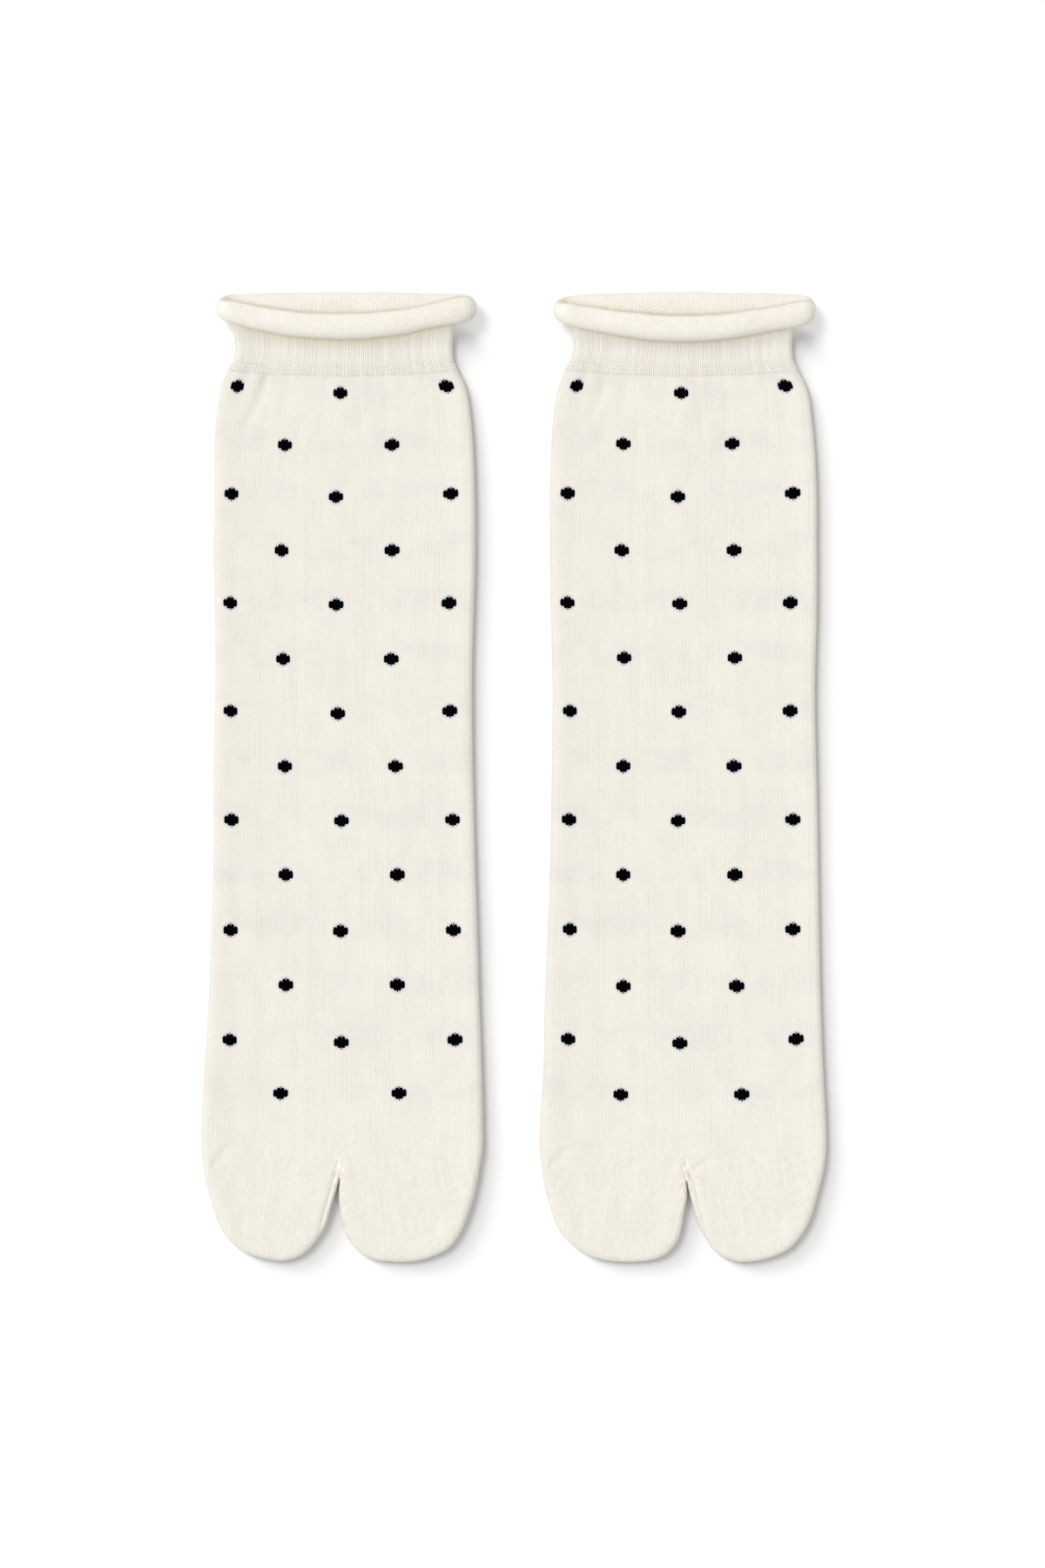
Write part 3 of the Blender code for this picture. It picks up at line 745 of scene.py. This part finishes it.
def buildRoll(sock):
    shape = rollShape
    path = rollPath(sock)
    phase = sock["roll"]["phase"]
    count = len(path)
    swell = unevenness(count, phase)
    wander = unevenness(count, phase * 2 + 1)
    centres = np.stack([
        sock["middle"] + path[:, 0],
        mouthBack - path[:, 1] - 0.16 * wander,
        path[:, 2],
    ], 1)
    along = np.roll(centres, -1, 0) - np.roll(centres, 1, 0)
    along /= np.linalg.norm(along, axis=1, keepdims=True)
    widthways = np.array([0.0, -1.0, 0.0]) - along * (along @ (0.0, -1.0, 0.0))[:, None]
    widthways /= np.linalg.norm(widthways, axis=1, keepdims=True)
    upwards = np.cross(along, widthways)
    start = shape["backStart"] + (shape["frontStart"] - shape["backStart"]) * path[:, 5]
    share = np.linspace(0, 1, shape["spiralSteps"] + 1)
    angle = start[:, None] + (shape["spiralEnd"] - start[:, None]) * share
    tucked = smoothStep((start[:, None] - shape["fullTurn"] - angle) / shape["tuck"])
    inset = (shape["wall"] + shape["layerGap"]) * tucked
    wide = (path[:, 3] / 2 * (1 + 0.03 * swell))[:, None] - inset
    high = (path[:, 4] / 2 * (1 + 0.02 * swell))[:, None] - inset
    turn = np.radians(angle)
    toEnd = abs(path[:, 0] - sock["roll"]["middle"]) / sock["roll"]["halfRun"]
    power = shape["fullness"] + (1 - shape["fullness"]) * smoothStep((toEnd - 0.5) / 0.4)
    sideways, upright = fuller(np.cos(turn), power), fuller(np.sin(turn), power)
    across = (wide * sideways)[..., None] * widthways[:, None]
    points = centres[:, None] + across + (high * upright)[..., None] * upwards[:, None]
    wale = 35 - 144 * np.arange(count + 1) / count
    course = -turn * shape["courseRadius"] / cloth["courseStep"]
    mesh = bpy.data.meshes.new(sock["name"] + "_rolled_edge_cloth")
    faces, maps = [], []
    sides = shape["spiralSteps"] + 1
    for ring in range(count):
        after = (ring + 1) % count
        for step in range(sides - 1):
            faces.append([ring * sides + step, after * sides + step,
                          after * sides + step + 1, ring * sides + step + 1])
            maps.append([(wale[ring], course[ring, step]), (wale[ring + 1], course[after, step]),
                         (wale[ring + 1], course[after, step + 1]), (wale[ring], course[ring, step + 1])])
    mesh.from_pydata([tuple(point) for point in points.reshape(-1, 3) * mm], [], faces)
    layer = mesh.uv_layers.new(name="knit")
    layer.uv.foreach_set("vector", np.array(maps).ravel())
    mesh.shade_smooth()
    obj = bpy.data.objects.new(sock["name"] + "_rolled_cloth", mesh)
    bpy.context.scene.collection.objects.link(obj)
    solid = obj.modifiers.new("Wall", "SOLIDIFY")
    solid.thickness = shape["wall"] * mm
    solid.offset = -1
    solid.use_quality_normals = True
    print(sock["name"], "rolled edge:", len(faces), "faces")
    return obj


# Shader maths: a Wire is a node's output socket that takes part in sums.
class Wire:
    def __init__(self, tree, socket):
        self.tree = tree
        self.socket = socket

    def node(self, kind, settings=None, inputs=None, output=0):
        made = self.tree.nodes.new(kind)
        for name, value in (settings or {}).items():
            setattr(made, name, value)
        for key, value in (inputs or {}).items():
            if isinstance(value, Wire):
                self.tree.links.new(value.socket, made.inputs[key])
            else:
                made.inputs[key].default_value = value
        return Wire(self.tree, made.outputs[output])

    def math(self, operation, *values, clamp=False):
        settings = {"operation": operation, "use_clamp": clamp}
        return self.node("ShaderNodeMath", settings, dict(enumerate(values)))

    def __add__(self, other):
        return self.math("ADD", self, other)

    def __sub__(self, other):
        return self.math("SUBTRACT", self, other)

    def __rsub__(self, other):
        return self.math("SUBTRACT", other, self)

    def __mul__(self, other):
        return self.math("MULTIPLY", self, other)

    def __truediv__(self, other):
        return self.math("DIVIDE", self, other)

    def __pow__(self, other):
        return self.math("POWER", self, other)

    def __lt__(self, other):
        return self.math("LESS_THAN", self, other)

    def __gt__(self, other):
        return self.math("GREATER_THAN", self, other)

    def __abs__(self):
        return self.math("ABSOLUTE", self)

    __radd__ = __add__
    __rmul__ = __mul__

    def floor(self):
        return self.math("FLOOR", self)

    def fraction(self):
        return self.math("FRACT", self)

    def wave(self):
        # 1 at whole numbers, 0 half way between them.
        return self.math("COSINE", self * (2 * math.pi)) * 0.5 + 0.5

    def clipped(self):
        return self.math("ADD", self, 0.0, clamp=True)

    def rising(self, low, high):
        # 0 below low to 1 above high, or the other way round.
        ends = {"From Min": low, "From Max": high}
        return self.node("ShaderNodeMapRange", {"interpolation_type": "SMOOTHSTEP"}, {"Value": self, **ends})

    def blended(self, first, second):
        # Two colours mixed by this value.
        return self.node("ShaderNodeMix", {"data_type": "RGBA"}, {0: self, 6: first, 7: second}, 2)


def knitSurface(name, finish):
    # A material with the knit map's wale and course wires, and its shader.
    material = bpy.data.materials.new(name)
    material.use_nodes = True
    tree = material.node_tree
    shader = tree.nodes["Principled BSDF"]
    shader.inputs["Roughness"].default_value = finish["roughness"]
    shader.inputs["Specular IOR Level"].default_value = finish["specular"]
    shader.inputs["Sheen Weight"].default_value = finish["sheen"]
    shader.inputs["Sheen Roughness"].default_value = finish["sheenRoughness"]
    knit = Wire(tree, None).node("ShaderNodeUVMap", {"uv_map": "knit"})
    parts = knit.node("ShaderNodeSeparateXYZ", None, {0: knit})
    wale = Wire(tree, parts.socket.node.outputs[0])
    course = Wire(tree, parts.socket.node.outputs[1])
    return material, shader, wale, course


def connect(material, shader, colour, height, finish):
    tree = material.node_tree
    bumpInputs = {"Strength": finish["bump"], "Distance": finish["relief"] * mm, "Height": height}
    bump = height.node("ShaderNodeBump", None, bumpInputs)
    tree.links.new(bump.socket, shader.inputs["Normal"])
    tree.links.new(colour.socket, shader.inputs["Base Color"])
    return material


def noiseOver(wale, course, waleScale, courseScale, detail=2.0, seed=0.0):
    place = wale.node("ShaderNodeCombineXYZ", None, {0: wale * waleScale, 1: course * courseScale, 2: seed})
    inputs = {"Vector": place, "Scale": 1.0, "Detail": detail, "Roughness": 0.55}
    return place.node("ShaderNodeTexNoise", {"noise_dimensions": "3D"}, inputs)


def randomFor(wale, course, seed):
    # An even random value for each whole wale and course.
    place = wale.node("ShaderNodeCombineXYZ", None, {0: wale, 1: course, 2: seed})
    return place.node("ShaderNodeTexWhiteNoise", {"noise_dimensions": "3D"}, {"Vector": place})


jersey = {
    "yarn": (0.835, 0.806, 0.735, 1.0),
    "shade": (0.590, 0.556, 0.480, 1.0),
    # bright: painted highlight on the stitch crowns near the dots
    "bright": (0.890, 0.880, 0.850, 1.0),
    "smudge": (0.680, 0.645, 0.640, 1.0),
    "smudgeCool": (0.660, 0.650, 0.622, 1.0),
    "fringe": (0.420, 0.430, 0.500, 1.0),
    "dot": (0.0003, 0.0003, 0.0006, 1.0),
    "dotLight": (0.0025, 0.0025, 0.004, 1.0),
    "roughness": 0.95,
    "specular": 0.0,
    "sheen": 0.0,
    "sheenRoughness": 0.5,
    "bump": 0.55,
    "relief": 0.22,
    "lean": 1.6,            # courses that a stitch's legs drop from its middle to its side
    "dotPitch": 29,
}


def jerseyMaterial():
    finish = jersey
    material, shader, wale, course = knitSurface("dotted_jersey", finish)
    wander = noiseOver(wale, course, 0.30, 0.12, 1.0, 3.1) - 0.5
    wale = wale + wander * 0.30
    ripple = noiseOver(wale, course, 0.25, 0.30, 1.0, 7.7) - 0.5
    course = course + ripple * 0.4

    # A wale has two legs with a groove on either side of each, some deeper than others.
    fromMiddle = abs(wale.fraction() - 0.5)
    groove = (wale * 2).wave()
    grooveTone = randomFor((wale * 2 + 0.5).floor(), 0.0, 1.0)
    uneven = noiseOver(wale, course, 0.22, 0.07, 2.0, 15.0).rising(0.30, 0.70)
    legTone = noiseOver((wale * 2).floor(), course, 1.7, 0.05, 1.0, 2.0)
    # The toes show short bright and dark dashes instead of long lines.
    toes = course.rising(274.0, 286.0)
    dashes = (noiseOver((wale * 2).floor(), course, 1.7, 0.42, 1.0, 11.0) - 0.5) * (toes * 0.4 + 0.45)
    dashes = dashes + (noiseOver(wale.floor(), course, 1.3, 0.06, 1.0, 9.0) - 0.5) * toes * 0.45
    drop = course - fromMiddle * finish["lean"]
    betweenStitches = drop.wave()

    # Dots of 2, 4, 4 and 2 stitches, on rows that step over by half a pitch. Each stitch is
    # peaked above and rounded below, and a bead of dark yarn shows above and below the middle.
    rowOf = (course / cloth["rowCourses"] + 0.5).floor()
    odd = (rowOf * 0.5).fraction() * 2
    shifted = wale + odd * 14.0
    columnOf = (shifted / finish["dotPitch"] + 0.5).floor()
    beside = abs(shifted - columnOf * finish["dotPitch"])
    downFrom = course - rowOf * cloth["rowCourses"]
    outer = beside > 1.0
    upper = fromMiddle * 1.3 + outer * (beside * 0.5 + 0.05) - 2.4
    lower = 2.25 - fromMiddle * 0.7 - outer * (beside * 0.5 + 0.05)
    inStitches = (downFrom > upper) * (downFrom < lower) * (beside < 1.92)
    beadDown = abs(downFrom) - 2.3
    bead = (beside * beside * 14.0 + beadDown * beadDown * 2.5) < 0.42
    onLeg = (course > -14.0) * (course < 271.0)
    inDot = (inStitches + bead).clipped() * onLeg
    away = (beside * beside * 1.61 + downFrom * downFrom * 0.85) ** 0.5
    halo = away.rising(4.6, 2.4) * (1 - inDot) * onLeg
    fringe = away.rising(4.2, 2.3) ** 4.0 * (1 - inDot) * onLeg

    # Yarn carried behind the cloth shows as faint smudges beside and just above the dots.
    band = downFrom.rising(-8.5, -3.0) * downFrom.rising(5.0, 0.5)
    patchy = noiseOver(wale, course, 0.15, 0.10, 2.0, 12.4).rising(0.42, 0.66)
    smudge = (band * 0.92 + 0.08) * patchy * onLeg
    cool = noiseOver(wale, course, 0.12, 0.10, 1.0, 6.2).rising(0.45, 0.58)
    smudgeTint = cool.blended(finish["smudge"], finish["smudgeCool"])

    # Painted shade: the grooves and the gaps between stitches are painted towards the shade colour, and on
    # the dots the grooves are painted darker than the crowns.
    grooves = (groove - 0.5) * (grooveTone * 0.5 + 0.5) * (uneven * 0.75 + 0.5) * (1 - toes * 0.15)
    stitches = (betweenStitches - 0.5) * (halo * 1.4 + toes * 0.25 + 0.16)
    mottle = noiseOver(wale, course, 0.07, 0.05, 3.0, 20.0)
    tone = grooves * 0.60 + stitches * 0.30 + dashes * 0.62 + legTone * 0.14 + mottle * 0.14 + 0.18
    tone = tone.clipped()
    yarn = tone.blended(finish["yarn"], finish["shade"])
    yarn = (smudge * 0.36).blended(yarn, smudgeTint)
    # Painted highlight: near the dots the crowns of the stitches are painted lighter.
    yarn = (halo * (1 - groove) * (1 - betweenStitches)).blended(yarn, finish["bright"])
    yarn = (fringe * 0.42).blended(yarn, finish["fringe"])
    inked = (groove * 0.5 + betweenStitches * 0.3).clipped().blended(finish["dotLight"], finish["dot"])
    colour = inDot.blended(yarn, inked)
    height = 1 - grooves * 0.7 - stitches * 0.4 - dashes * 0.5 + legTone * 0.1
    return connect(material, shader, colour, height, finish)


tuckStitch = {
    "yarn": (0.775, 0.748, 0.682, 1.0),
    # bright: painted highlight on the crowns of the ribs
    "bright": (0.870, 0.848, 0.795, 1.0),
    "shade": (0.420, 0.370, 0.275, 1.0),
    # deep: painted shade, the welt's colour where the roll shades it
    "deep": (0.850, 0.790, 0.660, 1.0),
    "rollCourse": 11.9,     # where the roll meets the welt, and how much later it does at the sides
    "rollDrop": 3.6,
    "roughness": 0.92,
    "specular": 0.25,
    "sheen": 0.10,
    "sheenRoughness": 0.5,
    "bump": 0.7,
    "relief": 0.30,
}


def weltMaterial():
    finish = tuckStitch
    material, shader, wale, course = knitSurface("tuck_knit_welt", finish)
    wander = noiseOver(wale, course, 0.5, 0.25, 2.0, 5.5) - 0.5
    # Three ribs to two wales, with held stitches that open as small holes low down.
    line = wale * 1.5 + wander * 0.9
    lineAt = (line + 0.5).floor()
    stagger = (lineAt * 0.5).fraction()
    groove = line.wave() ** 1.4
    grooveTone = randomFor(lineAt, 0.0, 4.0)
    ribTone = randomFor(line.floor(), 0.0, 8.0)
    held = course * 1.1 + stagger + wander * 0.3
    bead = held.wave() ** 1.6
    beadTone = randomFor(lineAt, (held + 0.5).floor(), 3.0)
    low = course.rising(7.5, 2.0)
    patchy = noiseOver(wale, course, 0.09, 0.16, 2.0, 9.0).rising(0.42, 0.62)
    opened = (low * 0.7 + patchy * 0.4).clipped()
    # Its last rows before the leg line up, and the very last ends in small dark ticks.
    ticks = groove * course.rising(1.5, 0.3)
    rows = ((course - 0.6) / 1.3).wave() ** 1.4 * course.rising(4.6, 3.0)
    hole = groove * bead * (beadTone * 0.7 + 0.5) * (opened * 0.80 + 0.06) + ticks * 0.14
    hole = hole + rows * (groove * 0.11 + 0.05)
    plain = groove * (grooveTone * 0.26 + 0.30) * (1 - opened * 0.6)
    crown = (1 - groove) * (1 - bead * opened * 0.5)
    # Painted shade: the grooves and the held stitches' small holes are painted towards the shade colour.
    tone = (hole * 0.64 + plain * 0.78 + ribTone * 0.08 + low * 0.03).clipped()
    # Painted highlight: the crowns of the ribs are painted lighter.
    yarn = crown.blended(finish["yarn"], finish["bright"])
    # Painted shade: it is painted a deeper cream where the roll overhangs it and shades it.
    toSide = wale / cloth["foldWale"]
    fromRoll = toSide * toSide * finish["rollDrop"] + finish["rollCourse"] - course
    yarn = fromRoll.rising(2.6, 0.2).blended(yarn, finish["deep"])
    colour = tone.blended(yarn, finish["shade"])
    height = 1 - hole * 0.8 - plain * 0.9
    return connect(material, shader, colour, height, finish)


purl = {
    "yarn": (0.842, 0.814, 0.736, 1.0),
    "rose": (0.842, 0.800, 0.746, 1.0),
    "shade": (0.560, 0.520, 0.440, 1.0),
    # deep: painted shade inside the mouth and where the roll curls under and faces the mouth
    "deep": (0.600, 0.515, 0.370, 1.0),
    "roughness": 0.94,
    "specular": 0.2,
    "sheen": 0.12,
    "sheenRoughness": 0.5,
    "bump": 0.5,
    "relief": 0.2,
}


def purlMaterial():
    finish = purl
    material, shader, wale, course = knitSurface("purl_side_jersey", finish)
    wander = noiseOver(wale, course, 0.5, 0.5, 2.0, 1.5) - 0.5
    course = course + wander * 0.8
    wale = wale + wander * 0.35
    # The curl hides most of its ribs: they show in places, as do its rows of small loops.
    shown = noiseOver(wale, course, 0.06, 0.10, 2.0, 3.3).rising(0.40, 0.62)
    # Its ribs show most inside the mouth, and that inner side is also painted a deeper warm cream there as
    # shade.
    inMouth = wale.rising(-30.0, -42.0) * wale.rising(-112.0, -100.0)
    rib = wale.wave() * (shown * 0.75 + 0.25) * (inMouth * 0.5 + 0.45)
    loops = (course + (wale + 0.5).floor() * 0.5).wave() * (1 - shown * 0.6)
    slub = randomFor((wale * 2).floor(), course.floor(), 6.0)
    speckle = noiseOver(wale, course, 1.5, 1.5, 2.0, 6.0)
    mottle = noiseOver(wale, course, 0.11, 0.16, 2.0, 14.0)
    # Painted light: the front of the roll is painted paler towards its left, where the light comes from, and
    # darker towards its right.
    paintedSideLight = (wale.rising(-40.0, 38.0) - 0.5) * (1 - inMouth)
    tone = rib * 0.22 + loops * 0.10 + slub * 0.16 + speckle * 0.34 + mottle * 0.16 + paintedSideLight * 0.16 - 0.18
    tone = tone.clipped()
    yarn = mottle.rising(0.48, 0.68).blended(finish["yarn"], finish["rose"])
    # Painted shade: inside the mouth, and where the roll's front curls under and faces the mouth, the yarn
    # is painted a deep warm cream.
    inward = inMouth * course.rising(16.0, 21.8) * 0.85
    behind = (1 - inMouth) * course.rising(14.8, 12.4) * 0.8
    yarn = (inward + behind).clipped().blended(yarn, finish["deep"])
    colour = tone.blended(yarn, finish["shade"])
    height = 1 - rib * 0.4 - loops * 0.3 + speckle * 0.6
    return connect(material, shader, colour, height, finish)


# The studio: a big soft light for the socks, and two for the paper they lie on. The rolled edges
# stand high, so they don't block the lower of the two.
studio = {
    "floor": (0.80, 0.80, 0.80, 1.0),
    "fill": 0.62,
    # Power, tilt from overhead, where it comes from (anticlockwise from +X) and how wide it is.
    "lights": {
        "overhead": (2.0, 26.0, 155.0, 70.0),
        "steep": (1.6, 39.0, 138.0, 25.0),
        "low": (2.5, 67.0, 138.0, 26.0),
    },
    "cameraAt": (3.0, -2.3, 1258.0),
}


def buildStudio():
    world = bpy.data.worlds.new("soft_box")
    bpy.context.scene.world = world
    world.use_nodes = True
    background = world.node_tree.nodes["Background"]
    background.inputs["Color"].default_value = (1.0, 1.0, 1.0, 1.0)
    background.inputs["Strength"].default_value = studio["fill"]
    lamps, lit = {}, {}
    for name, (power, tilt, turn, wide) in studio["lights"].items():
        light = bpy.data.lights.new(name, "SUN")
        light.energy = power
        light.angle = math.radians(wide)
        lamp = bpy.data.objects.new(name, light)
        lamp.rotation_euler = (0, math.radians(tilt), math.radians(turn))
        bpy.context.scene.collection.objects.link(lamp)
        lamps[name] = lamp
        lit[name] = bpy.data.collections.new("lit_by_" + name)
        lamp.light_linking.receiver_collection = lit[name]
    blockers = bpy.data.collections.new("block_low")
    lamps["low"].light_linking.blocker_collection = blockers

    mesh = bpy.data.meshes.new("floor")
    half = 2.5
    corners = [(-half, -half, 0), (half, -half, 0), (half, half, 0), (-half, half, 0)]
    mesh.from_pydata(corners, [], [(0, 1, 2, 3)])
    floor = bpy.data.objects.new("floor", mesh)
    floor.location.z = -0.05 * mm
    bpy.context.scene.collection.objects.link(floor)
    material = bpy.data.materials.new("paper")
    material.use_nodes = True
    shader = material.node_tree.nodes["Principled BSDF"]
    shader.inputs["Base Color"].default_value = studio["floor"]
    shader.inputs["Roughness"].default_value = 1.0
    shader.inputs["Specular IOR Level"].default_value = 0.0
    mesh.materials.append(material)
    for name in ("steep", "low"):
        lit[name].objects.link(floor)

    lens = bpy.data.cameras.new("camera")
    lens.lens = 85
    lens.clip_start = 0.05
    camera = bpy.data.objects.new("camera", lens)
    camera.location = [part * mm for part in studio["cameraAt"]]
    bpy.context.scene.collection.objects.link(camera)
    bpy.context.scene.camera = camera
    bpy.context.scene.view_settings.view_transform = "Standard"
    return lit["overhead"], blockers


# Each knitted piece: what it replaces in a sock, and its flat size and area in metres, all round.
pieces = {
    "dotted_knit": (("leg_and_foot", "big_toe", "small_toes"), (0.182, 0.300), 0.0525),
    "welt_knit": (("welt",), (0.154, 0.020), 0.0029),
    "rolled_knit": (("rolled_edge",), (0.188, 0.027), 0.005),
}


def finishPiece(obj, material, slot, sock):
    parts, flat, area = pieces[slot]
    obj.data.materials.append(material)
    overhead.objects.link(obj)
    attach(obj, "root")
    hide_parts(*[f"{sock['name']}_{part}" for part in parts])


overhead, blockers = buildStudio()
print("the studio is set")
jerseyCloth, weltCloth, purlCloth = jerseyMaterial(), weltMaterial(), purlMaterial()
print("the materials are made")
for sock in (leftSock, rightSock):
    body, leftEdge, rightEdge = buildBody(sock)
    finishPiece(body, jerseyCloth, "dotted_knit", sock)
    band = buildWelt(sock, leftEdge, rightEdge)
    finishPiece(band, weltCloth, "welt_knit", sock)
    for piece in (body, band):
        blockers.objects.link(piece)
    finishPiece(buildRoll(sock), purlCloth, "rolled_knit", sock)
print("all the pieces are in place")
